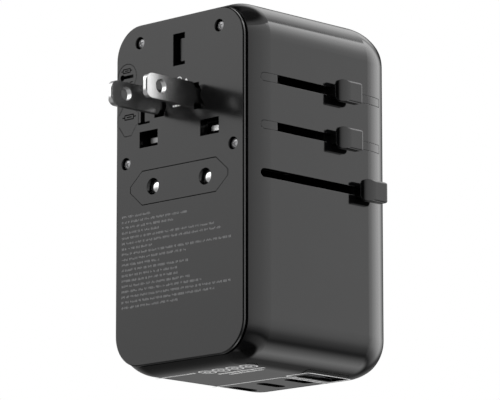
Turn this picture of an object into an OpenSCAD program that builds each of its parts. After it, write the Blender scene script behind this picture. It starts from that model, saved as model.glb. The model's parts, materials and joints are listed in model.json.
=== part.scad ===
// Universal travel adapter with three sliding plug sets, USB ports and a rear outlet.
// Layout is drawn in face coordinates (X across, Y in from the plug face, Z up from the
// UK live/neutral line) and placed so that the origin is the bottom centre of the housing.

/* [Housing] */
// width across the plug face
body_w = 50.4; // [50:0.1:52]
// depth from plug face to outlet face
body_d = 54.4; // [54:0.1:56]
// housing top above the UK live/neutral line
body_up = 32.8; // [32.6:0.1:34]
// housing bottom below the UK live/neutral line
body_down = 61.4; // [61:0.1:64]
// corner radius seen from the front
corner_r = 10.6; // [10:0.1:11]
// shell thickness
wall_t = 2.2; // [2:0.1:2.4]

/* [Plug plate] */
// gap between the plate outline and the widest housing outline
plate_inset = 2.0; // [1.8:0.1:2.2]
// plate thickness
plate_t = 3.0; // [2.6:0.1:3]

/* [Plug sets] */
// forward travel of the UK pins
uk_travel = 20.3; // [17:0.1:20.4]
// backward travel of the US and AU blades
us_travel = 20.1; // [18:0.1:20.2]
// forward travel of the EU pins
eu_travel = 36.5; // [30:0.1:36.6]
// forward travel of the EU block
eu_block_travel = 17.2; // [14:0.1:17.2]
// blade length in front of the plate
blade_out = 18.7; // [16:0.1:18.7]

/* [Slider slots] */
// slot width
slot_w = 2.3; // [2.2:0.1:2.5]
// knob length along the slot
knob_l = 8.6; // [7.8:0.1:8.6]
// knob height off the side face
knob_h = 3.7; // [3:0.1:4]

/* [Hidden] */

$fn = 64;
eps = 0.01;
fit = 0.05;                       // running fit, radial
gap = 0.3;                        // free gap between bodies
half_w = body_w / 2;
body_h = body_up + body_down;
front_y = 1.7;                    // front edge of the housing, behind the plate
front_arc_r = 11.2;               // front edge taper
front_arc_y = 8.0;                // where the taper meets the side
rear_arc_r = 16;                  // first arc of the rear rounding
rear_arc_a = 28;                  // its angle
rear_in = 5.5;                    // how far the rear rounding goes inward
rear_r = (rear_in - rear_arc_r * (1 - cos(rear_arc_a))) / cos(rear_arc_a);
rear_len = rear_arc_r * sin(rear_arc_a) + rear_r * (1 - sin(rear_arc_a));
inner_x = half_w - wall_t;        // inside face of the side wall

lip_t = 0.8;                      // plate edge standing in front of the shadow gap
neck_in = 0.8;                    // how far the neck sits inside the plate outline
edge_c = 0.3;                     // bevel of the plate edge

uk_pin_x = 11.1;
uk_earth_z = 22.2;
us_x = 6.35;
us_z = 8.7;
blade_h = 6.5;
blade_t = 1.5;
tip_c = 0.2;                      // half width of the bevel cut at a blade tip
twist_a = 30;                     // type I angle
eu_x = 9.5;
eu_z = -12.85;
eu_pin_r = 2.0;
eu_core_r = 1.6;
eu_block_w = 35.2;
eu_block_h = 8.75;
eu_flat = 26.8;                   // straight part of the block top
fuse_pos = [-18.8, 6.1];
spare_pos = [-19.2, 17.6];
cap_r = 3.4;                      // cover of the spare fuse
cap_seat = 0.7;                   // depth of the seats of both covers
mark_depth = 1.8;                 // depth of the I-shaped slot
head_y0 = 1.3;                    // front and back of the screw heads
head_y1 = 2.2;
screw_pos = [[-14.5, 26], [14.5, 26], [-19.5, -5.6], [19.5, -5.6]];

us_slot_z = 11.8;
uk_slot_z = -0.65;
eu_slot_z = -13.2;
slot_front = 4.7;
slot_rear = 50.0;
key_front = 10.4;                 // where the front keys end
stem_in = 1.2;                    // where the stem of a knob begins, behind its front end
eu_stem_in = 2.4;
stop = 0.7;                       // left between stem and slot end at full travel
us_knob_y = key_front + stop + us_travel - stem_in;
uk_knob_y = key_front + stop + uk_travel - stem_in;
eu_knob_y = slot_front + stop + eu_travel - eu_stem_in;
pad_w = 5.7;                      // knob pad: height, thickness and rounding
pad_t = 2.0;
pad_corner = 1.4;
pad_slope_r = 5.0;                // long front curve of the pad and its length
pad_slope = 3.9;
pad_edge_r = 0.6;
bar_x = 20.6;                     // slide bars run between this and the wall
bar_t = 2.0;
bar_lead = 0.7;                   // how far a bar starts in front of its stem
us_carriage_y = 11.3;
uk_carriage_y = uk_knob_y - 0.2;
eu_carriage_y = eu_knob_y + 2.5;
us_carriage_t = 6;
blade_end = us_carriage_y + us_carriage_t;
blade_neck = 1.9;                 // half height of a blade from the plate inwards
key_gap = 0.1;                    // line round a slot key
block_gap = 0.22;                 // line round the EU block
cover_gap = 0.16;                 // line round the fuse covers
line_pin_y = uk_travel - 17.7;    // pins stand 17.7 out of the plate when extended

outlet_z = -2.5;                  // live/neutral line of the rear outlet
usb_y = 38.1;
usb_a_x = 14.2;
usb_c_x = [6.35, -3.65, -13.9];
board_z = -47.4;

module place() {
    translate([0, -body_d / 2, body_down])
        children();
}

// a solid swept round the rounded-rectangle outline from a (radius, depth) profile
module swept(half_x, top, down, r) {
    ax = half_x - r;
    zt = top - r;
    zb = -down + r;
    for (c = [[ax, zt, 0], [-ax, zt, 90], [-ax, zb, 180], [ax, zb, 270]])
        translate([c[0], 0, c[1]])
            rotate([-90, 0, 0])
                rotate([0, 0, -c[2] - 90])
                    rotate_extrude(angle = 90)
                        children();
    translate([ax, 0, zb])
        linear_extrude(zt - zb)
            children();
    translate([-ax, 0, zb])
        mirror([1, 0, 0])
            linear_extrude(zt - zb)
                children();
    translate([-ax, 0, zt])
        rotate([0, 90, 0])
            linear_extrude(2 * ax)
                mirror([1, 0, 0])
                    children();
    translate([-ax, 0, zb])
        rotate([0, 90, 0])
            linear_extrude(2 * ax)
                children();
}

// prism with rounded corners running along Y
module slab(half_x, top, down, r, y0, y1) {
    swept(half_x, top, down, r)
        translate([0, y0])
            square([r, y1 - y0]);
    translate([-half_x + r, y0, -down + r])
        cube([2 * (half_x - r), y1 - y0, top + down - 2 * r]);
}

module box(x0, x1, y0, y1, z0, z1) {
    translate([x0, y0, z0])
        cube([x1 - x0, y1 - y0, z1 - z0]);
}

module rod(x, z, r, y0, y1) {
    translate([x, y0, z])
        rotate([-90, 0, 0])
            cylinder(r = r, h = y1 - y0);
}

// outline drawn in X and Z, run along Y from y0 to y1
module along_y(y0, y1) {
    translate([0, y1, 0])
        rotate([90, 0, 0])
            linear_extrude(y1 - y0)
                children();
}

// rounded rectangle, w wide about the axis and l long from the axis
module round_rect(w, l, r) {
    translate([-w / 2 + r, 0])
        square([w - 2 * r, l]);
    translate([-w / 2, r])
        square([w, l - 2 * r]);
    for (sx = [-1, 1], py = [r, l - r])
        translate([sx * (w / 2 - r), py])
            circle(r = r, $fn = 32);
}

module outer_profile() {
    y_arc = body_d - rear_len;
    c2 = [corner_r - rear_in, body_d - rear_r];
    translate([0, front_arc_y])
        square([corner_r, y_arc - front_arc_y]);
    intersection() {
        translate([0, front_y])
            square([corner_r, front_arc_y - front_y + eps]);
        translate([corner_r - front_arc_r, front_arc_y])
            circle(r = front_arc_r, $fn = 96);
    }
    intersection() {
        translate([corner_r - rear_arc_r, y_arc])
            circle(r = rear_arc_r, $fn = 128);
        polygon([[0, y_arc - eps], [corner_r + 1, y_arc - eps],
            [corner_r + 1, y_arc + (rear_arc_r + 1) * tan(rear_arc_a)], c2, [0, c2[1]]]);
    }
    translate(c2)
        circle(r = rear_r);
    translate([0, y_arc - eps])
        square([c2[0], rear_len + eps]);
}

module outer_body() {
    swept(half_w, body_up, body_down, corner_r)
        outer_profile();
    box(-half_w + corner_r - eps, half_w - corner_r + eps, front_y, body_d,
        -body_down + corner_r - eps, body_up - corner_r + eps);
}

module cavity() {
    r_in = corner_r - wall_t;
    slab(inner_x, body_up - wall_t, body_down - wall_t, r_in, 4.4, 48.2);
    slab(half_w - 6.9, body_up - 7, body_down - 7, 4, 48, 52.2);
    mouth = plate_inset + neck_in - fit;
    slab(half_w - mouth, body_up - mouth, body_down - mouth, corner_r - mouth, 0, 5);
}

module stadium_slot(z, y0, y1, x0, x1, w) {
    translate([x0, 0, z])
        rotate([0, 90, 0])
            linear_extrude(x1 - x0) {
                translate([-w / 2, y0 + w / 2])
                    square([w, y1 - y0 - w / 2]);
                translate([0, y0 + w / 2])
                    circle(d = w, $fn = 32);
            }
}

module port_cut(x, lx, ly, r, z0, z1) {
    translate([x, usb_y, z0])
        linear_extrude(z1 - z0) {
            square([lx - 2 * r, ly], center = true);
            square([lx, ly - 2 * r], center = true);
            for (sx = [-1, 1], sy = [-1, 1])
                translate([sx * (lx / 2 - r), sy * (ly / 2 - r)])
                    circle(r = r, $fn = 32);
        }
}

module housing() {
    color("#2b2c2e")
        place()
            difference() {
                outer_body();
                cavity();
                for (z = [us_slot_z, uk_slot_z, eu_slot_z])
                    stadium_slot(z, slot_front, slot_rear, inner_x - eps, half_w + 1, slot_w);
                port_cut(usb_a_x, 5.9, 13.9, 0.6, -body_down - 1, -body_down + 3);
                for (x = usb_c_x)
                    port_cut(x, 3.5, 9.3, 1.7, -body_down - 1, -body_down + 3);
                slab(18.1, 26.1, 18.1, 5.1, 50, body_d + 1);
            }
}

module slot_key(z, y0, y1) {
    place()
        intersection() {
            outer_body();
            union() {
                if (y0 <= slot_front)
                    stadium_slot(z, y0 + key_gap, y1, inner_x, half_w + 1, slot_w - 2 * key_gap);
                if (y0 > slot_front)
                    box(inner_x, half_w + 1, y0, y1 - key_gap,
                        z - slot_w / 2 + key_gap, z + slot_w / 2 - key_gap);
            }
        }
}

module us_slot_key_front() {
    color("#2f3032")
        slot_key(us_slot_z, slot_front, key_front);
}

module uk_slot_key_front() {
    color("#2f3032")
        slot_key(uk_slot_z, slot_front, key_front);
}

module us_slot_key_rear() {
    color("#2f3032")
        slot_key(us_slot_z, us_knob_y + knob_l + 0.6, slot_rear);
}

module uk_slot_key_rear() {
    color("#2f3032")
        slot_key(uk_slot_z, uk_knob_y + knob_l + 0.6, slot_rear);
}

module eu_slot_key_rear() {
    color("#2f3032")
        slot_key(eu_slot_z, eu_knob_y + knob_l + 0.2, slot_rear);
}

// opening for a blade that turns one way: narrow ends on side m, swept ends on the other
module blade_opening(m) {
    h = blade_h / 2 + 0.3;
    for (a = [0, 180])
        rotate(a)
            polygon([[0, h], [m * 0.95, h], [m * 0.95, 2.9], [m * 1.85, 1.2], [m * 1.5, 0],
                [0, -eps], [-m * 1.5, 0], [-m * 2.65, 2.6], [-m * 2.65, h]]);
}

module eu_outline(grow) {
    w = eu_block_w / 2 + grow;
    h = eu_block_h / 2 + grow;
    f = eu_flat / 2;
    polygon([[w, 0.8], [f, h], [-f, h], [-w, 0.8], [-w, -0.8], [-f, -h], [f, -h], [w, -0.8]]);
}

module fuse_outline(grow) {
    w = 3.8 + grow;
    v = 3.15 + grow;
    h = 4.3 + grow;
    for (a = [0, 180])
        rotate(a)
            polygon([[w, -eps], [w, 1.5], [v, 1.7], [2.2 + grow, 3.0], [1.25, h],
                [-1.25, h], [-2.2 - grow, 3.0], [-v, 1.7], [-w, 1.5], [-w, -eps]]);
}

module plug_plate() {
    r = corner_r - plate_inset;
    px = half_w - plate_inset;
    pt = body_up - plate_inset;
    pb = body_down - plate_inset;
    nx = px - neck_in;
    color("#2b2c2e")
        place()
            difference() {
                union() {
                    swept(px, pt, pb, r)
                        polygon([[0, 0], [r - edge_c, 0], [r, edge_c], [r, lip_t], [0, lip_t]]);
                    box(-px + r - eps, px - r + eps, 0, lip_t, -pb + r - eps, pt - r + eps);
                    slab(nx, pt - neck_in, pb - neck_in, r - neck_in, lip_t - eps, plate_t);
                }
                box(-2.15, 2.15, -1, plate_t + 1, uk_earth_z - 4.4, uk_earth_z + 4.1);
                for (s = [-1, 1]) {
                    box(s * uk_pin_x - 3.35, s * uk_pin_x + 3.35, -1, plate_t + 1, -2.15, 2.15);
                    translate([s * us_x, 0, us_z])
                        along_y(-1, plate_t + 1)
                            blade_opening(s);
                }
                translate([0, 0, eu_z])
                    along_y(-1, plate_t + 1)
                        eu_outline(block_gap);
                translate([fuse_pos[0], 0, fuse_pos[1]])
                    along_y(-1, cap_seat)
                        fuse_outline(cover_gap);
                rod(fuse_pos[0], fuse_pos[1], 3.1, -1, plate_t + 1);
                rod(spare_pos[0], spare_pos[1], cap_r + cover_gap, -1, cap_seat);
                rod(spare_pos[0], spare_pos[1], 2.95, -1, plate_t + 1);
                box(-14.1, -12.5, -1, mark_depth, 4.1, 13.5);
                box(-15.0, -10.7, -1, mark_depth, 4.1, 4.65);
                box(-15.0, -10.7, -1, mark_depth, 12.95, 13.5);
                for (p = screw_pos) {
                    rod(p[0], p[1], 1.65, -1, head_y1);
                    rod(p[0], p[1], 1.15, -1, plate_t + 1);
                }
            }
}

module plate_screws() {
    color("#8d9094")
        place()
            for (p = screw_pos)
                difference() {
                    union() {
                        rod(p[0], p[1], 1.5, head_y0, head_y1);
                        rod(p[0], p[1], 1.05, head_y1 - eps, 10);
                    }
                    for (a = [0, 90])
                        translate([p[0], head_y0 - 0.1, p[1]])
                            rotate([0, a + 20, 0])
                                translate([-1.0, 0, -0.22])
                                    cube([2.0, 0.7, 0.44]);
                }
}

module inner_frame() {
    color("#3b3d40")
        place()
            difference() {
                intersection() {
                    slab(inner_x - gap, body_up - wall_t - gap, body_down - wall_t - gap,
                        corner_r - wall_t - gap, plate_t + gap, 41);
                    frame_walls();
                }
                for (p = screw_pos)
                    rod(p[0], p[1], 1.05, plate_t, 11);
            }
}

module frame_walls() {
    y0 = plate_t + gap;
    box(-21, 19.4, y0, 40.6, 28.0, 29.4);
    box(-21, 19.4, 39.2, 40.6, -6.9, 29.4);
    box(-21, 19.4, y0, 40.6, -6.9, -5.7);
    box(-21, 19.4, y0, 40.6, -19.7, -18.5);
    box(-21, -19.6, y0, 40.6, -19.7, -5.7);
    for (p = screw_pos)
        rod(p[0], p[1], 2.2, y0, 12);
    for (s = [-1, 1])
        box(s * 14.5 - 1, s * 14.5 + 1, y0, 12, 26, 28.4);
}

// rounded pad standing off the side face; x is its height above that face
module knob(y, z) {
    x0 = half_w + gap + knob_h - pad_t;
    x1 = x0 + pad_t;
    color("#2b2c2e")
        place()
            intersection() {
                translate([0, y, z - pad_w / 2])
                    linear_extrude(pad_w)
                        intersection() {
                            translate([x0, 0])
                                square([pad_t, knob_l]);
                            union() {
                                translate([x0, pad_slope])
                                    square([pad_t, knob_l - pad_edge_r - pad_slope]);
                                translate([x0, pad_slope])
                                    square([pad_t - pad_edge_r, knob_l - pad_slope]);
                                translate([x1 - pad_slope_r, pad_slope])
                                    circle(r = pad_slope_r, $fn = 128);
                                translate([x1 - pad_edge_r, knob_l - pad_edge_r])
                                    circle(r = pad_edge_r, $fn = 32);
                            }
                        }
                translate([x0 - 1, y, z])
                    rotate([0, 90, 0])
                        linear_extrude(pad_t + 2)
                            round_rect(pad_w, knob_l, pad_corner);
                translate([x1, y - 1, z])
                    rotate([-90, 0, 0])
                        linear_extrude(knob_l + 2)
                            rotate(90)
                                round_rect(pad_w, 2 * pad_t, pad_edge_r);
            }
}

module slide_bar(y, z, reach) {
    stem_top = half_w + gap + knob_h - pad_t;
    place() {
        box(bar_x, bar_x + bar_t, y + reach - bar_lead, y + knob_l - 0.6, z - 2.0, z + 2.0);
        box(bar_x + bar_t - eps, stem_top, y + reach, y + knob_l - 1.6, z - 1.0, z + 1.0);
    }
}

module us_knob() {
    knob(us_knob_y, us_slot_z);
}

module uk_knob() {
    knob(uk_knob_y, uk_slot_z);
}

module eu_knob() {
    knob(eu_knob_y, eu_slot_z);
}

module us_slide_bar() {
    color("#484a4e") {
        slide_bar(us_knob_y, us_slot_z, stem_in);
        place()
            box(19.7, bar_x + eps, us_knob_y + knob_l - 3.2, us_knob_y + knob_l - 1.2,
                us_slot_z - 2.0, us_slot_z + 1.4);
    }
}

module uk_slide_bar() {
    color("#484a4e")
        slide_bar(uk_knob_y, uk_slot_z, stem_in);
}

module eu_slide_bar() {
    color("#484a4e")
        slide_bar(eu_knob_y, eu_slot_z, eu_stem_in);
}

module us_carriage() {
    y0 = us_carriage_y;
    color("#232427")
        place()
            difference() {
                box(-11.2, 19.4, y0, blade_end, us_z - 4.6, us_z + 4.6);
                for (s = [-1, 1])
                    rod(s * us_x, us_z, 3.75, y0 - 1, blade_end + 1);
                box(12.2, 19.5, y0 - 1, blade_end + 1, us_z - 5, us_z + 0.4);
            }
}

module blade(s) {
    h = blade_h / 2;
    r = 2.2;
    color("#c9ccd0")
        place()
            translate([s * us_x, 0, us_z]) {
                difference() {
                    translate([-blade_t / 2, 0, 0])
                        rotate([90, 0, 90])
                            linear_extrude(blade_t) {
                                polygon([[-blade_out + r, h], [-1.9, h], [-1.3, blade_neck],
                                    [us_carriage_y + eps, blade_neck], [us_carriage_y + eps, -blade_neck],
                                    [-1.3, -blade_neck], [-1.9, -h], [-blade_out + r, -h]]);
                                translate([-blade_out, -h + r])
                                    square([r + eps, blade_h - 2 * r]);
                                for (v = [-1, 1])
                                    translate([-blade_out + r, v * (h - r)])
                                        circle(r = r);
                            }
                    translate([-2, -blade_out + 5.2, 0.3])
                        rotate([0, 90, 0])
                            cylinder(r = 1.85, h = 4);
                    for (m = [0, 1])
                        mirror([m, 0, 0])
                            translate([blade_t / 2, -blade_out, -h - 1])
                                rotate([0, 0, 45])
                                    translate([-tip_c, -tip_c, 0])
                                        cube([2 * tip_c, 2 * tip_c, blade_h + 2]);
                }
                rod(0, 0, 3.7, us_carriage_y, blade_end);
                rod(0, 0, 4.3, blade_end + 0.1, blade_end + 1.0);
                rod(0, 0, 2.0, blade_end - eps, blade_end + 0.2);
            }
}

module blade_left() {
    blade(-1);
}

module blade_right() {
    blade(1);
}

module uk_carriage() {
    y0 = uk_carriage_y;
    y1 = y0 + 5.6;
    color("#232427")
        place()
            difference() {
                union() {
                    box(-15.6, bar_x, y0, y1, -2.6, 2.6);
                    box(-14.8, -12.3, y0, y1, -2.6, 23.4);
                    box(-14.8, 4.0, y0, y1, 20.2, 23.4);
                    box(-4.0, 4.0, y0, y1, 17.4, 27.0);
                }
                for (s = [-1, 1])
                    box(s * uk_pin_x - 2.8, s * uk_pin_x + 2.8, y0 - 1, y0 + 4, -1.6, 1.6);
                box(-1.95, 1.95, y0 - 1, y0 + 4, uk_earth_z - 3.95, uk_earth_z + 3.95);
            }
}

module wedge_tip(w, h, y0, y1, c) {
    intersection() {
        translate([-w / 2, 0, 0])
            rotate([90, 0, 90])
                linear_extrude(w)
                    polygon([[y0, h / 2 - c], [y0 + c * 1.6, h / 2], [y1, h / 2],
                        [y1, -h / 2], [y0 + c * 1.6, -h / 2], [y0, -h / 2 + c]]);
        translate([0, 0, -h / 2])
            linear_extrude(h)
                polygon([[w / 2 - c, y0], [w / 2, y0 + c * 1.6], [w / 2, y1],
                    [-w / 2, y1], [-w / 2, y0 + c * 1.6], [-w / 2 + c, y0]]);
    }
}

module uk_line_pin(s) {
    color("#c9ccd0")
        place()
            translate([s * uk_pin_x, 0, 0]) {
                wedge_tip(6.35, 3.97, line_pin_y, line_pin_y + 8.3, 1.3);
                box(-2.75, 2.75, line_pin_y + 8.2, uk_carriage_y + 3.9, -1.55, 1.55);
            }
}

module uk_live_pin() {
    uk_line_pin(1);
}

module uk_neutral_pin() {
    uk_line_pin(-1);
}

module uk_earth_pin() {
    color("#3a3c3f")
        place()
            translate([0, 0, uk_earth_z])
                wedge_tip(3.85, 7.85, 1.5, uk_carriage_y + 3.9, 0.9);
}

module uk_pin_sleeves() {
    color("#1c1d1f")
        place()
            for (s = [-1, 1])
                difference() {
                    box(s * uk_pin_x - 3.175, s * uk_pin_x + 3.175, line_pin_y + 8.35, 20.6, -1.98, 1.98);
                    box(s * uk_pin_x - 2.77, s * uk_pin_x + 2.77, line_pin_y + 8, 21, -1.57, 1.57);
                }
}

module eu_carriage() {
    y0 = eu_carriage_y;
    color("#232427")
        place()
            difference() {
                box(-15.6, bar_x, y0, y0 + 5, -17.0, -9.2);
                for (s = [-1, 1])
                    rod(s * eu_x, eu_z, eu_core_r + 0.02, y0 - 1, y0 + 4);
            }
}

module eu_block() {
    flange_y = plate_t + 0.2 + eu_block_travel;
    color("#2b2c2e")
        place()
            difference() {
                translate([0, 0, eu_z]) {
                    along_y(0, flange_y + 0.1)
                        eu_outline(0);
                    along_y(flange_y, flange_y + 2)
                        eu_outline(0.6);
                }
                for (s = [-1, 1])
                    rod(s * eu_x, eu_z, eu_pin_r + 0.2, -1, 24);
            }
}

module eu_pin(s) {
    tip = 0.8;
    dome_r = 3.6;
    color("#c9ccd0")
        place() {
            intersection() {
                translate([s * eu_x, tip + dome_r, eu_z])
                    sphere(r = dome_r, $fn = 96);
                rod(s * eu_x, eu_z, eu_pin_r, tip - 1, tip + dome_r);
            }
            rod(s * eu_x, eu_z, eu_pin_r, tip + dome_r - eps, 10);
            rod(s * eu_x, eu_z, eu_core_r, 10 - eps, eu_carriage_y + 3.8);
        }
}

module eu_pin_left() {
    eu_pin(-1);
}

module eu_pin_right() {
    eu_pin(1);
}

module eu_pin_sleeves() {
    color("#1c1d1f")
        place()
            for (s = [-1, 1])
                difference() {
                    rod(s * eu_x, eu_z, 1.95, 10.05, 20.5);
                    rod(s * eu_x, eu_z, eu_core_r + 0.02, 9, 21);
                }
}

module fuse_cover() {
    color("#2b2c2e")
        place()
            translate([fuse_pos[0], 0, fuse_pos[1]])
                difference() {
                    union() {
                        along_y(0.02, 0.66)
                            fuse_outline(0);
                        rod(0, 0, 3.0, 0.6, 4.2);
                    }
                    rod(0, 0, 2.4, 1.4, 5);
                }
}

module fuse_holder() {
    r_out = 3.4;
    color("#232427")
        place()
            difference() {
                union() {
                    for (p = [fuse_pos, spare_pos])
                        rod(p[0], p[1], r_out, 4.6, 28);
                    box(-20.4, -18.0, 4.6, 28, fuse_pos[1] + 3, spare_pos[1] - 3);
                }
                rod(fuse_pos[0], fuse_pos[1], 2.7, 4, 27);
                rod(spare_pos[0], spare_pos[1], 2.95, 4, 27);
            }
}

module fuse_body() {
    color("#e6e2d8")
        place()
            rod(fuse_pos[0], fuse_pos[1], 2.35, 11.0, 21.0);
}

module fuse_end_caps() {
    color("#c9ccd0")
        place()
            for (y = [6.0, 21.0])
                rod(fuse_pos[0], fuse_pos[1], 2.6, y, y + 5);
}

module spare_fuse_drawer() {
    key_depth = 1.9;
    color("#2b2c2e")
        place()
            translate([spare_pos[0], 0, spare_pos[1]])
                difference() {
                    union() {
                        rod(0, 0, cap_r, 0.02, 0.66);
                        rod(0, 0, 2.85, 0.6, 26);
                    }
                    box(-2.5, 2.5, 3.4, 24.4, -2.45, 4);
                    rod(-1.75, 0, 0.8, -1, key_depth);
                    box(-1.75, 2.3, -1, key_depth, -0.42, 0.42);
                }
}

module spare_fuse() {
    color("#e6e2d8")
        place()
            rod(spare_pos[0], spare_pos[1], 2.35, 3.9, 23.9);
}

module outlet_shape(grow) {
    for (s = [-1, 1])
        translate([s, 0]) {
            translate([s * (uk_pin_x - 1), 0])
                square([7.0 + grow, 4.6 + grow], center = true);
            translate([s * (us_x - 1), 0])
                square([2.4 + grow, 7.4 + grow], center = true);
            translate([s * (eu_x - 1), 0])
                circle(r = 2.75 + grow / 2, $fn = 48);
            translate([s * 6.3, 0])
                rotate(s * 30)
                    square([2.2 + grow, 7.4 + grow], center = true);
        }
}

module outlet_cover() {
    color("#2b2c2e")
        place()
            difference() {
                slab(18.0, 26.0, 18.0, 5.0, 50.1, body_d);
                slab(16.4, 24.4, 16.4, 3.4, 49, 52.2);
                translate([0, 0, outlet_z])
                    along_y(52, body_d + 1)
                        outlet_shape(0);
                box(-2.4, 2.4, 52, body_d + 1, outlet_z + uk_earth_z - 4.3, outlet_z + uk_earth_z + 4.3);
            }
}

module outlet_shutter() {
    color("#6a6d72")
        place() {
            box(-15.6, -1.4, 50.6, 51.9, outlet_z - 4.2, outlet_z + 4.2);
            box(1.4, 15.6, 50.6, 51.9, outlet_z - 4.2, outlet_z + 4.2);
            box(-2, 2, 50.6, 51.5, outlet_z - 1.4, outlet_z + 1.4);
        }
}

module contact_carrier() {
    color("#3b3d40")
        place()
            difference() {
                box(-16.4, 16.4, 41.0, 49.4, -7.6, 24.6);
                for (s = [-1, 1])
                    box(s * 9.6 - 5, s * 9.6 + 5, 42.6, 50, outlet_z - 3.9, outlet_z + 3.9);
                box(-4, 4, 42.6, 50, outlet_z + uk_earth_z - 4.6, outlet_z + uk_earth_z + 4.6);
            }
}

module spring_contact(x, z, w, h) {
    t = 0.6;
    color("#c79a4b")
        place()
            translate([x, 0, z]) {
                box(-w / 2, w / 2, 42.7, 42.7 + t, -h / 2, h / 2);
                for (m = [0, 1])
                    mirror([0, 0, m])
                        box(-w / 2, w / 2, 42.7, 49.0, h / 2 - t, h / 2);
            }
}

module contact_live() {
    spring_contact(9.6, outlet_z, 9.4, 6.4);
}

module contact_neutral() {
    spring_contact(-9.6, outlet_z, 9.4, 6.4);
}

module contact_earth() {
    spring_contact(0, outlet_z + uk_earth_z, 5.0, 8.8);
}

module feed_strip(x) {
    color("#c79a4b")
        place()
            box(x, x + 0.8, 43, 46, board_z + 1.65, 2);
}

module live_strip() {
    feed_strip(-18.6);
}

module neutral_strip() {
    feed_strip(-20.4);
}

module port_board() {
    color("#1f5a3c")
        place()
            box(-21.6, 21.6, 12, 47.6, board_z, board_z + 1.6);
}

module power_board() {
    color("#1f5a3c")
        place()
            box(-21, 21, 8, 9.6, -56, -21);
}

module port_shell(x, lx, ly, r, t) {
    color("#c9ccd0")
        place()
            difference() {
                port_cut(x, lx, ly, r, -body_down + 0.8, board_z);
                port_cut(x, lx - 2 * t, ly - 2 * t, r - t, -body_down - 1, board_z - 1);
            }
}

module usb_a_shell() {
    port_shell(usb_a_x, 5.7, 13.7, 0.6, 0.35);
}

module usb_a_tongue() {
    color("#e9e9ea")
        place()
            box(usb_a_x - 2.0, usb_a_x - 0.2, usb_y - 5.6, usb_y + 5.6, -body_down + 1.2, board_z - 1.02);
}

module usb_c_shell_1() {
    port_shell(usb_c_x[0], 3.3, 9.1, 1.6, 0.3);
}

module usb_c_shell_2() {
    port_shell(usb_c_x[1], 3.3, 9.1, 1.6, 0.3);
}

module usb_c_shell_3() {
    port_shell(usb_c_x[2], 3.3, 9.1, 1.6, 0.3);
}

module c_tongue(x) {
    color("#26282b")
        place()
            box(x - 0.35, x + 0.35, usb_y - 3.3, usb_y + 3.3, -body_down + 1.2, board_z - 1.02);
}

module usb_c_tongue_1() {
    c_tongue(usb_c_x[0]);
}

module usb_c_tongue_2() {
    c_tongue(usb_c_x[1]);
}

module usb_c_tongue_3() {
    c_tongue(usb_c_x[2]);
}

module transformer_core() {
    z0 = board_z + 1.6;
    color("#4a4a4c")
        place()
            difference() {
                box(-6, 10, 22, 36, z0, z0 + 14);
                box(-4, 1, 21, 37, z0 + 2.5, z0 + 11.5);
                box(3, 8, 21, 37, z0 + 2.5, z0 + 11.5);
            }
}

module transformer_coil() {
    z0 = board_z + 1.6;
    color("#d8a93a")
        place()
            difference() {
                box(-3.8, 7.8, 23, 35, z0 + 2.7, z0 + 11.3);
                box(0.98, 3.02, 22, 36, z0, z0 + 14);
            }
}

module upright_can(x, y, r, h) {
    place()
        translate([x, y, board_z + 1.6]) {
            cylinder(r = r, h = h - 0.6);
            cylinder(r = r - 0.5, h = h);
        }
}

module bulk_capacitor() {
    color("#27406b")
        upright_can(-14, 30, 5, 18);
}

module filter_capacitor() {
    color("#27406b")
        upright_can(15.5, 22, 4, 12);
}

housing();
plug_plate();
inner_frame();
plate_screws();
us_slot_key_front();
uk_slot_key_front();
us_slot_key_rear();
uk_slot_key_rear();
eu_slot_key_rear();
us_knob();
us_slide_bar();
us_carriage();
blade_left();
blade_right();
uk_knob();
uk_slide_bar();
uk_carriage();
uk_live_pin();
uk_neutral_pin();
uk_earth_pin();
uk_pin_sleeves();
eu_knob();
eu_slide_bar();
eu_carriage();
eu_block();
eu_pin_left();
eu_pin_right();
eu_pin_sleeves();
fuse_cover();
fuse_holder();
fuse_body();
fuse_end_caps();
spare_fuse_drawer();
spare_fuse();
outlet_cover();
outlet_shutter();
contact_carrier();
contact_live();
contact_neutral();
contact_earth();
live_strip();
neutral_strip();
port_board();
power_board();
usb_a_shell();
usb_a_tongue();
usb_c_shell_1();
usb_c_shell_2();
usb_c_shell_3();
usb_c_tongue_1();
usb_c_tongue_2();
usb_c_tongue_3();
transformer_core();
transformer_coil();
bulk_capacitor();
filter_capacitor();
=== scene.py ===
import json
import math
import random

import bmesh
import bpy
from mathutils import Matrix, Vector


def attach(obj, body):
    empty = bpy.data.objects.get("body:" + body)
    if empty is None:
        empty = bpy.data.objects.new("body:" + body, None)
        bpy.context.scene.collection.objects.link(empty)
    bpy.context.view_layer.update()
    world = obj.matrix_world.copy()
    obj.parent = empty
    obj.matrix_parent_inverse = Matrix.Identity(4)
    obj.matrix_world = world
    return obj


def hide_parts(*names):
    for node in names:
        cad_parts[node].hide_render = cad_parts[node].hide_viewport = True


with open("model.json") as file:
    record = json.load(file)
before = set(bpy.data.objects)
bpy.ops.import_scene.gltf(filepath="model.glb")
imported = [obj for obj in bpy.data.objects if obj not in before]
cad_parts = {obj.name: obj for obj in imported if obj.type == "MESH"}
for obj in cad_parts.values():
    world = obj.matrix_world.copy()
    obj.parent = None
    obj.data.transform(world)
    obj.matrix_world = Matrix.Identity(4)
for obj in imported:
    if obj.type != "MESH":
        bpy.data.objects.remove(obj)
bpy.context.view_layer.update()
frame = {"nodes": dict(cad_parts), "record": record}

# Places in this script are face millimetres: X across the plug face, Y in from it, Z up from the
# UK live/neutral line. face() turns them into the row frame in metres. Azimuths run from +Y, the
# rear, towards +X, the side with the knobs; elevations run up from level. Both are in degrees.
MM = 0.001
mount_at = {mount["name"]: mount["pos_m"] for mount in frame["record"]["mounts"]}
PLATE_Y = mount_at["plug_face"][1] / MM
LINE_Z = mount_at["uk_pins"][2] / MM


def face(x, y, z):
    return Vector((x * MM, (y + PLATE_Y) * MM, (z + LINE_Z) * MM))


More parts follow.
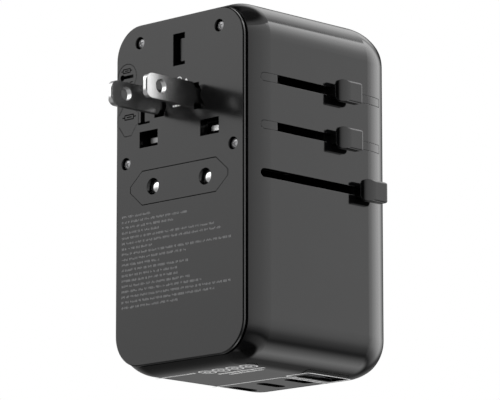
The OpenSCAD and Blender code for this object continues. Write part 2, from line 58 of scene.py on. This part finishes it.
# ---------------------------------------------------------------- node graphs
class Graph:
    """Short names for the nodes that the materials and the world are made of."""

    def __init__(self, tree):
        self.nodes = tree.nodes
        self.links = tree.links

    def add(self, kind, **props):
        node = self.nodes.new(kind)
        for name, value in props.items():
            setattr(node, name, value)
        return node

    def put(self, socket, value):
        """Links value to the socket if it is an output, or sets it as the socket's constant."""
        if isinstance(value, bpy.types.NodeSocket):
            self.links.new(value, socket)
        else:
            socket.default_value = value

    def math(self, op, a, b=None, c=None):
        node = self.add("ShaderNodeMath", operation=op)
        for i, value in enumerate((a, b, c)):
            if value is not None:
                self.put(node.inputs[i], value)
        return node.outputs[0]

    def vmath(self, op, a, b=None):
        node = self.add("ShaderNodeVectorMath", operation=op)
        self.put(node.inputs[0], a)
        if b is not None:
            self.put(node.inputs[1], b)
        return node.outputs["Value"] if op == "DOT_PRODUCT" else node.outputs[0]

    def split(self, vector):
        node = self.add("ShaderNodeSeparateXYZ")
        self.put(node.inputs[0], vector)
        return node.outputs

    def step(self, value, low, high, out_low=0.0, out_high=1.0):
        """A smooth step from out_low at low to out_high at high; low may be above high."""
        node = self.add("ShaderNodeMapRange", interpolation_type="SMOOTHSTEP")
        self.put(node.inputs["Value"], value)
        if low > high:
            low, high, out_low, out_high = high, low, out_high, out_low
        node.inputs["From Min"].default_value = low
        node.inputs["From Max"].default_value = high
        node.inputs["To Min"].default_value = out_low
        node.inputs["To Max"].default_value = out_high
        return node.outputs[0]

    def span(self, value, a, b, soft_a, soft_b):
        """1 between a and b, falling to 0 over soft_a below a and soft_b above b."""
        up = self.step(value, a - soft_a, a)
        down = self.step(value, b + soft_b, b)
        return self.math("MULTIPLY", up, down)

    def mix(self, factor, a, b):
        node = self.add("ShaderNodeMix", data_type="FLOAT")
        self.put(node.inputs[0], factor)
        self.put(node.inputs[2], a)
        self.put(node.inputs[3], b)
        return node.outputs[0]

    def mix_colour(self, factor, a, b, blend="MIX"):
        node = self.add("ShaderNodeMix", data_type="RGBA", blend_type=blend)
        self.put(node.inputs[0], factor)
        self.put(node.inputs[6], a)
        self.put(node.inputs[7], b)
        return node.outputs[2]

    def tinted(self, base, level):
        """The base colour times a grey level."""
        combine = self.add("ShaderNodeCombineColor")
        for channel in combine.inputs:
            self.put(channel, level)
        return self.mix_colour(1.0, rgb(*base), combine.outputs[0], "MULTIPLY")

    def ramp(self, value, low, high, top, stops):
        """A piecewise-linear curve through (value, level) stops, for levels from 0 to top."""
        place = self.add("ShaderNodeMapRange")
        self.put(place.inputs["Value"], value)
        place.inputs["From Min"].default_value = low
        place.inputs["From Max"].default_value = high
        curve = self.add("ShaderNodeValToRGB")
        self.put(curve.inputs["Fac"], place.outputs[0])
        marks = curve.color_ramp.elements
        curve.color_ramp.interpolation = "LINEAR"
        for i, (at, level) in enumerate(stops):
            share = (at - low) / (high - low)
            if i < 2:
                marks[i].position = share  # a new ramp has two marks already
                mark = marks[i]
            else:
                mark = marks.new(share)
            mark.color = rgb(*grey(level / top))
        to_grey = self.add("ShaderNodeRGBToBW")
        self.put(to_grey.inputs[0], curve.outputs["Color"])
        return self.math("MULTIPLY", to_grey.outputs[0], top)

    def noise(self, vector, scale, detail=3.0, rough=0.55):
        node = self.add("ShaderNodeTexNoise")
        self.put(node.inputs["Vector"], vector)
        node.inputs["Scale"].default_value = scale
        node.inputs["Detail"].default_value = detail
        node.inputs["Roughness"].default_value = rough
        return node.outputs[0]

    def stretched(self, vector, scale):
        node = self.add("ShaderNodeMapping")
        self.put(node.inputs["Vector"], vector)
        node.inputs["Scale"].default_value = scale
        return node.outputs[0]


def grey(level):
    return (level, level, level)


def rgb(r, g, b):
    return (r, g, b, 1.0)


def scaled(base, gain, lift=0.0):
    """The base colour, brighter or darker."""
    return rgb(*[min(1.0, channel * gain + lift) for channel in base])


# ---------------------------------------------------------------- materials
# Noise scales are waves per metre, and bump depths are in metres. A noise lies mostly between 0.3
# and 0.7, so the steps over one begin and end near there.
CLOUDS, TARNISH, INK_SPECKS, WEAVE, TRACKS = 90.0, 160.0, 3200.0, 2400.0, 420.0
SPARK_GRAIN = 1.0 / (0.22 * MM)
DRAWN_LONG, DRAWN_FINE = 160.0, 5200.0
GRAIN_DEPTH, SCRATCH_DEPTH, WEAVE_DEPTH = 0.004 * MM, 0.002 * MM, 0.01 * MM
FLAT_COSINE, EDGE_COSINE = 0.995, 0.90


def new_material(name):
    mat = bpy.data.materials.new(name)
    mat.use_nodes = True
    graph = Graph(mat.node_tree)
    shader = mat.node_tree.nodes["Principled BSDF"]
    where = graph.add("ShaderNodeTexCoord").outputs["Object"]
    return mat, graph, shader, where


def edge_mask(g, radius):
    """1 where the surface turns sharply within radius, 0 on flat ground; and the rounded normal."""
    bevel = g.add("ShaderNodeBevel", samples=4)
    bevel.inputs["Radius"].default_value = radius
    normal = g.add("ShaderNodeNewGeometry").outputs["Normal"]
    cosine = g.vmath("DOT_PRODUCT", bevel.outputs[0], normal)
    return g.step(cosine, FLAT_COSINE, EDGE_COSINE), bevel.outputs[0]


def bump(g, shader, height, strength, depth, rounded=None):
    """Fine relief over the surface's own normal or a rounded one."""
    relief = g.add("ShaderNodeBump")
    relief.inputs["Strength"].default_value = strength
    relief.inputs["Distance"].default_value = depth
    g.put(relief.inputs["Height"], height)
    if rounded is not None:
        g.put(relief.inputs["Normal"], rounded)
    g.put(shader.inputs["Normal"], relief.outputs[0])


def moulded(name, base, rough, grain=0.10, blotch=0.03, edge_gain=2.0):
    """Injection-moulded plastic: fine spark grain, slow gloss variation, faintly worn edges."""
    mat, g, shader, where = new_material(name)
    mask, rounded = edge_mask(g, radius=0.12 * MM)
    slow = g.noise(where, CLOUDS)
    fine = g.noise(where, SPARK_GRAIN, detail=2.0, rough=0.6)
    body = g.tinted(base, g.step(slow, 0.3, 0.7, 0.92, 1.08))
    worn = scaled(base, edge_gain, lift=0.004)
    g.put(shader.inputs["Base Color"], g.mix_colour(mask, body, worn))
    varied = g.step(slow, 0.25, 0.75, rough - blotch, rough + blotch)
    speck = g.math("MULTIPLY_ADD", fine, 0.02, -0.01)
    g.put(shader.inputs["Roughness"], g.math("ADD", varied, speck))
    bump(g, shader, fine, grain, GRAIN_DEPTH, rounded)
    shader.inputs["IOR"].default_value = 1.5
    return mat


def metal(name, base, rough, along="Y", scratch=0.12, dark_from=None):
    """Plated or turned metal: fine drawn scratches along one axis, slow tarnish, bright edges.

    From the depth dark_from on, in metres of row frame Y, the metal is painted nearly black: painted
    shade for what lies deep in the openings."""
    mat, g, shader, where = new_material(name)
    mask, rounded = edge_mask(g, radius=0.10 * MM)
    scale = [DRAWN_LONG if axis == along else DRAWN_FINE for axis in "XYZ"]
    lines = g.noise(g.stretched(where, scale), 1.0, rough=0.7)
    slow = g.noise(where, TARNISH)
    body = g.tinted(base, g.step(slow, 0.3, 0.75, 1.0, 0.9))
    body = g.mix_colour(mask, body, scaled(base, 1.08))
    if dark_from is not None:
        # painted shade: the metal turns nearly black from dark_from in, where the openings hold the
        # pins in shade
        painted_shade = g.step(g.split(where)["Y"], dark_from - 0.2 * MM, dark_from)
        body = g.mix_colour(painted_shade, body, rgb(*grey(0.02)))
    g.put(shader.inputs["Base Color"], body)
    shader.inputs["Metallic"].default_value = 1.0
    drawn = g.math("MULTIPLY_ADD", lines, 0.06, -0.03)
    varied = g.step(slow, 0.25, 0.8, rough - 0.02, rough + 0.04)
    g.put(shader.inputs["Roughness"], g.math("ADD", varied, drawn))
    bump(g, shader, lines, scratch, SCRATCH_DEPTH, rounded)
    return mat


def board(name):
    """Solder-masked circuit board with copper tracks showing faintly through."""
    mat, g, shader, where = new_material(name)
    tracks = g.add("ShaderNodeTexBrick", offset=0.5)
    g.put(tracks.inputs["Vector"], g.stretched(where, grey(TRACKS)))
    tracks.inputs["Scale"].default_value = 1.0
    tracks.inputs["Mortar Size"].default_value = 0.08
    tracks.inputs["Color1"].default_value = rgb(0.012, 0.10, 0.045)
    tracks.inputs["Color2"].default_value = rgb(0.015, 0.12, 0.055)
    tracks.inputs["Mortar"].default_value = rgb(0.03, 0.19, 0.07)
    g.put(shader.inputs["Base Color"], tracks.outputs["Color"])
    weave = g.noise(where, WEAVE, detail=2.0)
    g.put(shader.inputs["Roughness"], g.step(weave, 0.3, 0.7, 0.28, 0.42))
    bump(g, shader, weave, 0.2, WEAVE_DEPTH)
    return mat


def ink(name, base, rough, ior=1.5):
    """Pad-printed ink: slightly uneven cover over a moulded surface."""
    mat, g, shader, where = new_material(name)
    cover = g.noise(where, INK_SPECKS, rough=0.65)
    thin = scaled(base, 0.72)
    g.put(shader.inputs["Base Color"], g.mix_colour(g.step(cover, 0.3, 0.6), thin, rgb(*base)))
    g.put(shader.inputs["Roughness"], g.step(cover, 0.3, 0.7, rough - 0.05, rough + 0.08))
    bump(g, shader, cover, 0.1, GRAIN_DEPTH)
    shader.inputs["IOR"].default_value = ior
    return mat


# one material for each slot of the record
SHELL = (0.0026, 0.0026, 0.0028)
MATERIALS = {
    "shell_plastic": moulded("shell", SHELL, 0.18),
    "inner_plastic": moulded("inner", (0.010, 0.010, 0.011), 0.42, grain=0.2),
    "carriage_plastic": moulded("carriage", (0.0022, 0.0022, 0.0024), 0.45, grain=0.2),
    "slider_plastic": moulded("slider", (0.0018, 0.0018, 0.0019), 0.35),
    "sleeve_plastic": moulded("sleeve", (0.004, 0.004, 0.0045), 0.40),
    "nickel": metal("nickel", grey(0.80), 0.14),
    "brass": metal("brass", (0.78, 0.55, 0.24), 0.24),
    "screw_steel": metal("screw", (0.42, 0.42, 0.425), 0.42),
    "fuse_ceramic": moulded("fuse_tube", (0.72, 0.69, 0.61), 0.22, edge_gain=1.05),
    "board_green": board("board"),
    "port_white": moulded("port_white", (0.70, 0.70, 0.71), 0.40, edge_gain=1.05),
    "port_black": moulded("port_black", (0.006, 0.006, 0.007), 0.40),
    "ferrite": moulded("ferrite", (0.022, 0.022, 0.023), 0.60, grain=0.5, blotch=0.08),
    "coil_tape": moulded("coil_tape", (0.66, 0.42, 0.05), 0.36, edge_gain=1.05),
    "can_blue": moulded("can_sleeve", (0.012, 0.03, 0.10), 0.30),
    "shutter_grey": moulded("shutter", (0.018, 0.018, 0.019), 0.36),
}

# looks of single nodes that differ from their slot's; the UK line pins carry painted shade: nearly
# black from 20.4 mm in, and the neutral pin darker all over than the live one
GLOSS = moulded("gloss_shell", SHELL, 0.09, grain=0.05, blotch=0.015)
BLADE = metal("blade_nickel", grey(0.74), 0.23, along="Z", scratch=0.05)
PORT_METAL = metal("port_nickel", (0.16, 0.16, 0.165), 0.22, along="Z")
# the depth from which both line pins are painted nearly black, as painted shade in their openings
PIN_SHADE_FROM = (20.4 + PLATE_Y) * MM
LIVE_PIN = metal("live_pin_nickel", grey(0.72), 0.22, dark_from=PIN_SHADE_FROM)
# the neutral pin is the live pin's nickel painted darker and rougher: painted shade for its dark
# opening
NEUTRAL_PIN_SHADED = metal("neutral_pin_shaded_nickel", grey(0.24), 0.30, dark_from=PIN_SHADE_FROM)
OWN_LOOKS = (
    (GLOSS, ("housing", "us_knob", "uk_knob", "eu_knob", "us_slot_key_front", "us_slot_key_rear",
             "uk_slot_key_front", "uk_slot_key_rear", "eu_slot_key_rear", "outlet_cover")),
    (BLADE, ("blade_left", "blade_right")),
    (PORT_METAL, ("usb_a_shell", "usb_c_shell_1", "usb_c_shell_2", "usb_c_shell_3")),
    (LIVE_PIN, ("uk_live_pin",)),
    (NEUTRAL_PIN_SHADED, ("uk_neutral_pin",)),
)


def paint_nodes():
    look_of = {part["node"]: MATERIALS[part["material_slot"]] for part in frame["record"]["subparts"]}
    for look, nodes in OWN_LOOKS:
        look_of.update({node: look for node in nodes})
    for node, obj in frame["nodes"].items():
        obj.data.materials.clear()
        obj.data.materials.append(look_of[node])


paint_nodes()

WHITE_INK = ink("white_ink", grey(0.86), 0.45)
GREY_INK = ink("grey_ink", (0.15, 0.15, 0.153), 0.45)
BLACK_INK = ink("black_ink", grey(0.0006), 0.55, ior=1.12)


def new_object(name, bm, material):
    """Turns a bmesh into an object of the scene, and frees the bmesh."""
    mesh = bpy.data.meshes.new(name)
    bm.to_mesh(mesh)
    bm.free()
    mesh.materials.append(material)
    obj = bpy.data.objects.new(name, mesh)
    bpy.context.scene.collection.objects.link(obj)
    return obj


# ---------------------------------------------------------------- screws
# (X, Z) of each screw, the depth of the head's middle, its radius and that of its dome, then the
# depth of its rear, the shank's radius and the depth of its end
SCREWS = ((-14.5, 26.0), (14.5, 26.0), (-19.5, -5.6), (19.5, -5.6))
HEAD_Y, HEAD_R, DOME_R = 0.4, 1.32, 2.3
HEAD_REAR, SHANK_R, SHANK_END = 2.19, 1.05, 10.0
# the cross recess: its inner and outer radius, half an arm's width, its depth and its turn
CROSS_FROM, CROSS_TO, CROSS_HALF, CROSS_DEEP = 0.12, 0.80, 0.13, 0.24
CROSS_TURN = 0.35
TURN_STEPS, DOME_STEPS = 64, 12
SHARP = math.radians(35)


def screw_profile():
    """(radius, depth) points from near the middle of the domed head to the end of the shank."""
    widest = math.asin(HEAD_R / DOME_R)
    points = []
    for k in range(1, DOME_STEPS + 1):
        a = widest * k / DOME_STEPS
        points.append((DOME_R * math.sin(a), HEAD_Y + DOME_R * (1 - math.cos(a))))
    return points + [(HEAD_R, HEAD_REAR), (SHANK_R, HEAD_REAR), (SHANK_R, SHANK_END)]


def sunk(r, a, y):
    """How far the cross recess pushes in the head's point at radius r and angle a."""
    from_arm = abs(r * math.sin(2 * (a - CROSS_TURN))) / 2
    in_cross = CROSS_FROM < r < CROSS_TO and from_arm < CROSS_HALF and y < HEAD_REAR
    return CROSS_DEEP if in_cross else 0.0


def domed_screws():
    """Pan-head screws with a cross recess pressed into the dome."""
    bm = bmesh.new()
    turns = [2 * math.pi * i / TURN_STEPS for i in range(TURN_STEPS)]
    for x, z in SCREWS:
        rings = []
        for r, y in screw_profile():
            places = [(x + r * math.cos(a), y + sunk(r, a, y), z + r * math.sin(a)) for a in turns]
            rings.append([bm.verts.new(face(*place)) for place in places])
        middle = bm.verts.new(face(x, HEAD_Y + CROSS_DEEP, z))
        for i in range(TURN_STEPS):
            j = (i + 1) % TURN_STEPS
            bm.faces.new((middle, rings[0][i], rings[0][j]))
            for a, b in zip(rings, rings[1:]):
                bm.faces.new((a[i], b[i], b[j], a[j]))
        bm.faces.new(rings[-1])
    bmesh.ops.recalc_face_normals(bm, faces=bm.faces)
    for f in bm.faces:
        f.smooth = True
    for e in bm.edges:
        e.smooth = len(e.link_faces) == 2 and e.calc_face_angle(0.0) < SHARP
    obj = new_object("domed_screws", bm, MATERIALS["screw_steel"])
    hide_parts("plate_screws")
    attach(obj, "body")


domed_screws()


# ---------------------------------------------------------------- prints
# The ink stands INK_T out of the face it is on and reaches INK_SUNK into it.
INK_T, INK_SUNK = 0.012, 0.004
# The fuse cover and the spare cap lie this far in from the plate.
COVER_Y = 0.02
FRONT = Vector((0, -1, 0))
DOWN = Vector((0, 0, -1))


class Print:
    """Flat inked shapes on one face, gathered into one thin closed mesh."""

    def __init__(self, name, to_face, outward):
        self.name = name
        self.to_face = to_face
        self.outward = outward
        self.bm = bmesh.new()

    def shape(self, points):
        """One simple outline, as (u, v) points."""
        low, high = [], []
        for u, v in points:
            p = self.to_face(u, v)
            low.append(self.bm.verts.new(p - self.outward * INK_SUNK * MM))
            high.append(self.bm.verts.new(p + self.outward * INK_T * MM))
        self.bm.faces.new(high)
        self.bm.faces.new(list(reversed(low)))
        n = len(points)
        for i in range(n):
            j = (i + 1) % n
            self.bm.faces.new((low[i], low[j], high[j], high[i]))

    def bar(self, u0, v0, u1, v1):
        self.shape([(u0, v0), (u1, v0), (u1, v1), (u0, v1)])

    def bar_row(self, u, v, u_end, widths, height, gap):
        """Bars of random widths from u until one passes u_end."""
        while u < u_end:
            w = random.choice(widths)
            self.bar(u, v, u + w, v + height)
            u += w + gap

    def line(self, points, width, closed=False):
        """A ribbon of the given width along a path."""
        n = len(points)
        sides = []
        for i, p in enumerate(points):
            before = points[(i - 1) % n] if closed or i > 0 else p
            after = points[(i + 1) % n] if closed or i < n - 1 else p
            d = Vector((after[0] - before[0], after[1] - before[1])).normalized()
            off = Vector((-d.y, d.x)) * width / 2
            sides.append(((p[0] + off.x, p[1] + off.y), (p[0] - off.x, p[1] - off.y)))
        for i in range(n if closed else n - 1):
            a, b = sides[i], sides[(i + 1) % n]
            self.shape([a[0], a[1], b[1], b[0]])

    def ring(self, u, v, r, width, start=0.0, stop=360.0, steps=28):
        closed = stop - start >= 360.0
        path = []
        for i in range(steps if closed else steps + 1):
            a = math.radians(start + (stop - start) * i / steps)
            path.append((u + r * math.cos(a), v + r * math.sin(a)))
        self.line(path, width, closed)

    def outline(self, u0, v0, u1, v1, r, width, corner_steps=6):
        """A rectangle's outline with corners of radius r."""
        path = []
        for cu, cv, start in ((u1 - r, v1 - r, 0), (u0 + r, v1 - r, 90),
                              (u0 + r, v0 + r, 180), (u1 - r, v0 + r, 270)):
            for k in range(corner_steps + 1):
                a = math.radians(start + 90 * k / corner_steps)
                path.append((cu + r * math.cos(a), cv + r * math.sin(a)))
        self.line(path, width, True)

    def cartridge(self, u, v, half_w, half_h, reach, core, corner, stroke):
        """A plain fuse symbol: the tube's outline, a core line in it and a wire at each end."""
        self.outline(u - half_w, v - half_h, u + half_w, v + half_h, corner, stroke)
        for u0, u1 in ((-reach, -half_w), (-core, core), (half_w, reach)):
            self.bar(u + u0, v - stroke / 2, u + u1, v + stroke / 2)

    def done(self, material, body):
        bmesh.ops.recalc_face_normals(self.bm, faces=self.bm.faces)
        obj = new_object(self.name, self.bm, material)
        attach(obj, body)


def on_plate(u, v):
    return face(u, 0.0, v)


def on_cover(u, v):
    return face(u, COVER_Y, v)


def on_base(u, v):
    return face(u, v, -LINE_Z)


def plate_marks():
    """Small white marks round the blades: an arc, a triangle and four bars."""
    marks = Print("plate_marks", on_plate, FRONT)
    marks.ring(0.15, 13.75, 0.85, 0.22, start=15, stop=165, steps=12)
    marks.shape([(2.0, 13.25), (3.2, 13.25), (2.65, 14.0)])
    for u0, u1 in ((-2.2, -1.75), (-1.5, -0.7), (-0.4, 0.0), (0.2, 0.5)):
        marks.bar(u0, 6.95, u1, 7.4)
    marks.done(WHITE_INK, "body")


ROW_LEFT, ROW_TOP, ROW_PITCH, ROW_H = -20.8, -20.0, 1.409, 0.62
ROW_ENDS = (-10.1, 3.2, -1.9, -6.7, 13.0, 15.5, -9.0, 18.9, 2.9, -6.9, 3.6, -0.3, -0.3, 4.1,
            8.6, 18.9, 13.2, 0.4)
STROKE_WIDTHS, STROKE_GAPS, GROUP_GAP = (0.16, 0.24, 0.30), (0.12, 0.18), 0.42


def rating_rows():
    """Rows of abstract strokes in groups of two to eight, with no lettering."""
    random.seed(11)
    rating = Print("rating_rows", on_plate, FRONT)
    for row, end in enumerate(ROW_ENDS):
        v0 = ROW_TOP - row * ROW_PITCH
        u = ROW_LEFT
        while u < end:
            for _ in range(random.randint(2, 8)):
                w = random.choice(STROKE_WIDTHS)
                low = random.choice((0.0, 0.0, 0.18))
                high = ROW_H if random.random() < 0.7 else ROW_H * 0.65
                if u + w > end:
                    break
                rating.bar(u, v0 + low, u + w, v0 + high)
                u += w + random.choice(STROKE_GAPS)
            u += GROUP_GAP
    rating.done(GREY_INK, "body")


def fuse_symbols():
    """A plain fuse symbol on the fuse cover, and a smaller one with a short bar on the spare cap."""
    symbol = Print("fuse_symbol", on_cover, FRONT)
    symbol.cartridge(-18.4, 6.8, half_w=1.6, half_h=0.6, reach=2.5, core=0.9, corner=0.12, stroke=0.32)
    symbol.done(BLACK_INK, "fuse_door")
    u, v = -19.4, 19.3
    spare = Print("spare_symbol", on_cover, FRONT)
    spare.cartridge(u, v, half_w=1.3, half_h=0.5, reach=2.0, core=0.7, corner=0.1, stroke=0.28)
    spare.bar(u + 1.1, v - 3.3, u + 2.3, v - 3.05)
    spare.done(BLACK_INK, "spare_drawer")


def port_frames():
    """A rounded frame round the USB-A port, and an open one along the USB-C ports."""
    width = 0.55
    ports = Print("port_frames", on_base, DOWN)
    ports.outline(10.0, 29.2, 18.1, 45.4, 0.9, width)
    corner = [(6.6, 30.2), (7.6, 30.5), (8.3, 31.2), (8.5, 32.0)]
    ports.line([(-17.4, 30.2)] + corner + [(8.5, 45.9)], width)
    ports.done(WHITE_INK, "body")


def base_marks():
    """Plain marks on the underside: four rounded outlines with a ring in each, and rows of bars."""
    random.seed(5)
    width = 0.42
    marks = Print("base_marks", on_base, DOWN)
    for k in range(4):
        u0 = -1.6 + 4.9 * k
        marks.outline(u0, 8.2, u0 + 3.9, 12.4, 1.5, width)
        marks.ring(u0 + 1.95, 10.3, 0.8, width)
    for v0, u_from, u_to in ((14.2, 0.0, 16.0), (16.4, 2.0, 14.0)):
        marks.bar_row(u_from, v0, u_to, (0.35, 0.6, 0.9), height=1.1, gap=0.32)
    # beside the outlines, and one bar inside the USB-A port's frame
    for v0, u_from, u_to in ((9.0, -17.5, -4.0), (31.6, 10.9, 11.0)):
        marks.bar_row(u_from, v0, u_to, (0.3, 0.5, 0.8), height=0.9, gap=0.3)
    marks.done(WHITE_INK, "body")


plate_marks()
rating_rows()
fuse_symbols()
port_frames()
base_marks()


# ---------------------------------------------------------------- camera
# The camera's direction from the face's origin, and its place from there in millimetres: back
# along its view, to its right and up.
CAM_AZ = math.radians(135.998)
CAM_EL = math.radians(-11.05)
CAM_ROLL = math.radians(-0.027)
CAM_FAR, CAM_RIGHT, CAM_UP = 1039.257, 18.363, -17.432
LENS, SENSOR = 290.105, 36.0


def place_camera():
    along = math.cos(CAM_EL)
    back = Vector((math.sin(CAM_AZ) * along, math.cos(CAM_AZ) * along, math.sin(CAM_EL)))
    level_right = Vector((0, 0, 1)).cross(back).normalized()
    right = Matrix.Rotation(CAM_ROLL, 3, back) @ level_right
    up = back.cross(right)
    data = bpy.data.cameras.new("camera")
    data.sensor_fit = "HORIZONTAL"
    data.sensor_width = SENSOR
    data.lens = LENS
    data.clip_start = 0.01
    camera = bpy.data.objects.new("camera", data)
    bpy.context.scene.collection.objects.link(camera)
    place = face(*(CAM_FAR * back + CAM_RIGHT * right + CAM_UP * up))
    turn = Matrix((right, up, back)).transposed().to_4x4()
    camera.matrix_world = Matrix.Translation(place) @ turn
    bpy.context.scene.camera = camera


place_camera()


# ---------------------------------------------------------------- studio
# The light is a world of soft boxes. AROUND names are (azimuth, level) stops, BY_HEIGHT has
# (elevation, share) stops, and LEVEL_TOP and SHARE_TOP are above every value in them.
LEVEL_TOP, SHARE_TOP = 4.0, 2.0
# Level with the object: dark behind the camera (126 to 150) and at the rear left (-62 to -14).
AROUND = ((-180.0, 1.0), (-172.0, 1.05), (-160.0, 1.2), (-100.0, 1.3), (-76.0, 1.0), (-62.0, 0.05),
          (-25.0, 0.04), (-14.0, 0.08), (-8.0, 0.5), (-3.0, 1.5), (4.0, 2.6), (18.0, 3.0),
          (31.0, 2.6), (37.0, 1.9), (41.5, 1.50), (47.0, 1.48), (64.0, 1.52), (84.0, 1.42),
          (100.0, 1.28), (112.0, 1.0), (119.0, 0.6), (126.0, 0.0), (150.0, 0.0), (166.0, 0.7),
          (180.0, 1.0))
BY_HEIGHT = ((-90.0, 0.0), (-40.0, 0.0), (-28.0, 0.08), (-17.0, 0.38), (-8.0, 0.75), (-3.0, 0.88),
             (6.0, 1.0), (15.0, 1.0), (28.0, 1.03), (36.0, 1.15), (41.6, 1.42), (90.0, 1.42))
HIGH_AROUND = ((-180.0, 1.0), (-120.0, 1.0), (-80.0, 0.4), (-62.0, 0.08), (-52.0, 0.10),
               (-43.0, 0.8), (-36.0, 1.3), (-15.0, 1.8), (4.0, 1.4), (16.0, 0.75), (50.0, 0.9),
               (110.0, 1.0), (180.0, 0.6))
LOW_AROUND = ((-180.0, 0.0), (-60.0, 0.0), (-22.0, 0.15), (-8.0, 1.0), (6.0, 1.85), (14.0, 1.65),
              (23.0, 1.15), (40.0, 0.65), (60.0, 0.5), (90.0, 0.3), (120.0, 0.05), (180.0, 0.0))
GLOW_AROUND = ((-180.0, 0.30), (-60.0, 0.25), (-30.0, 0.24), (-10.0, 0.08), (40.0, 0.05),
               (120.0, 0.08), (180.0, 0.30))


def box_light(g, az, el):
    """The light level that reaches glossy surfaces from azimuth az and elevation el."""
    def around(stops):
        return g.ramp(az, -180.0, 180.0, LEVEL_TOP, stops)

    # boxes level with the object, and a faint glow below them
    height = g.ramp(el, -90.0, 90.0, SHARE_TOP, BY_HEIGHT)
    mid = g.math("MULTIPLY", around(AROUND), height)
    glow = g.math("MULTIPLY", around(GLOW_AROUND), g.step(el, 4.0, -10.0))
    glow = g.math("MULTIPLY", glow, g.step(el, -42.0, -14.0, 0.45, 1.0))
    mid = g.math("ADD", mid, glow)
    # above the boxes; at the rear left their upper edge is higher and sharper
    rear_left = g.span(az, -60.0, -13.0, 10.0, 10.0)
    rise = g.mix(rear_left, g.step(el, 41.8, 42.8), g.step(el, 20.0, 37.0))
    light = g.mix(rise, mid, around(HIGH_AROUND))
    # a low panel under the rear, fading round both sides
    low = g.math("MULTIPLY", around(LOW_AROUND), g.span(el, -50.0, -40.0, 10.0, 11.0))
    light = g.math("ADD", light, low)
    # front left: broad light on the plug plate
    front = g.math("MULTIPLY", g.step(az, -95.0, -112.0), g.step(az, -176.0, -160.0))
    light = g.mix(front, light, g.step(el, -6.0, 24.0, 0.40, 2.15))
    # little from overhead
    return g.math("MULTIPLY", light, g.step(el, 60.0, 46.0, 0.10, 1.0))


def studio_world():
    """Soft boxes for glossy rays; matt surfaces and the view past the object get an even white."""
    world = bpy.data.worlds.new("studio")
    world.use_nodes = True
    bpy.context.scene.world = world
    g = Graph(world.node_tree)
    g.nodes.clear()
    way = g.vmath("NORMALIZE", g.add("ShaderNodeTexCoord").outputs["Generated"])
    x, y, z = g.split(way)
    az = g.math("MULTIPLY", g.math("ARCTAN2", x, y), 180 / math.pi)
    el = g.math("MULTIPLY", g.math("ARCSINE", z), 180 / math.pi)
    path = g.add("ShaderNodeLightPath")
    light = g.mix(path.outputs["Is Diffuse Ray"], box_light(g, az, el), 1.0)
    light = g.mix(path.outputs["Is Camera Ray"], light, 1.0)
    background = g.add("ShaderNodeBackground")
    background.inputs["Color"].default_value = rgb(*grey(1.0))
    g.put(background.inputs["Strength"], light)
    out = g.add("ShaderNodeOutputWorld")
    g.links.new(background.outputs[0], out.inputs["Surface"])
    world.cycles.sampling_method = "MANUAL"
    world.cycles.sample_map_resolution = 1024


FLOOR_Z, FLOOR_HALF = -1.6, 9.0


def floor_paint():
    mat, g, shader, where = new_material("floor_paint")
    shader.inputs["Base Color"].default_value = rgb(*grey(0.86))
    cloud = g.noise(where, 1.5, detail=2.0)
    g.put(shader.inputs["Roughness"], g.step(cloud, 0.3, 0.7, 0.75, 0.9))
    return mat


def studio_floor():
    """A pale floor far below, in metres, that neither lights the object nor shows in it."""
    bm = bmesh.new()
    corners = [bm.verts.new((sx * FLOOR_HALF, sy * FLOOR_HALF, FLOOR_Z))
               for sx, sy in ((-1, -1), (1, -1), (1, 1), (-1, 1))]
    bm.faces.new(corners)
    floor = new_object("floor", bm, floor_paint())
    floor.visible_glossy = False
    floor.visible_diffuse = False


studio_world()
studio_floor()
bpy.context.scene.view_settings.view_transform = "Standard"
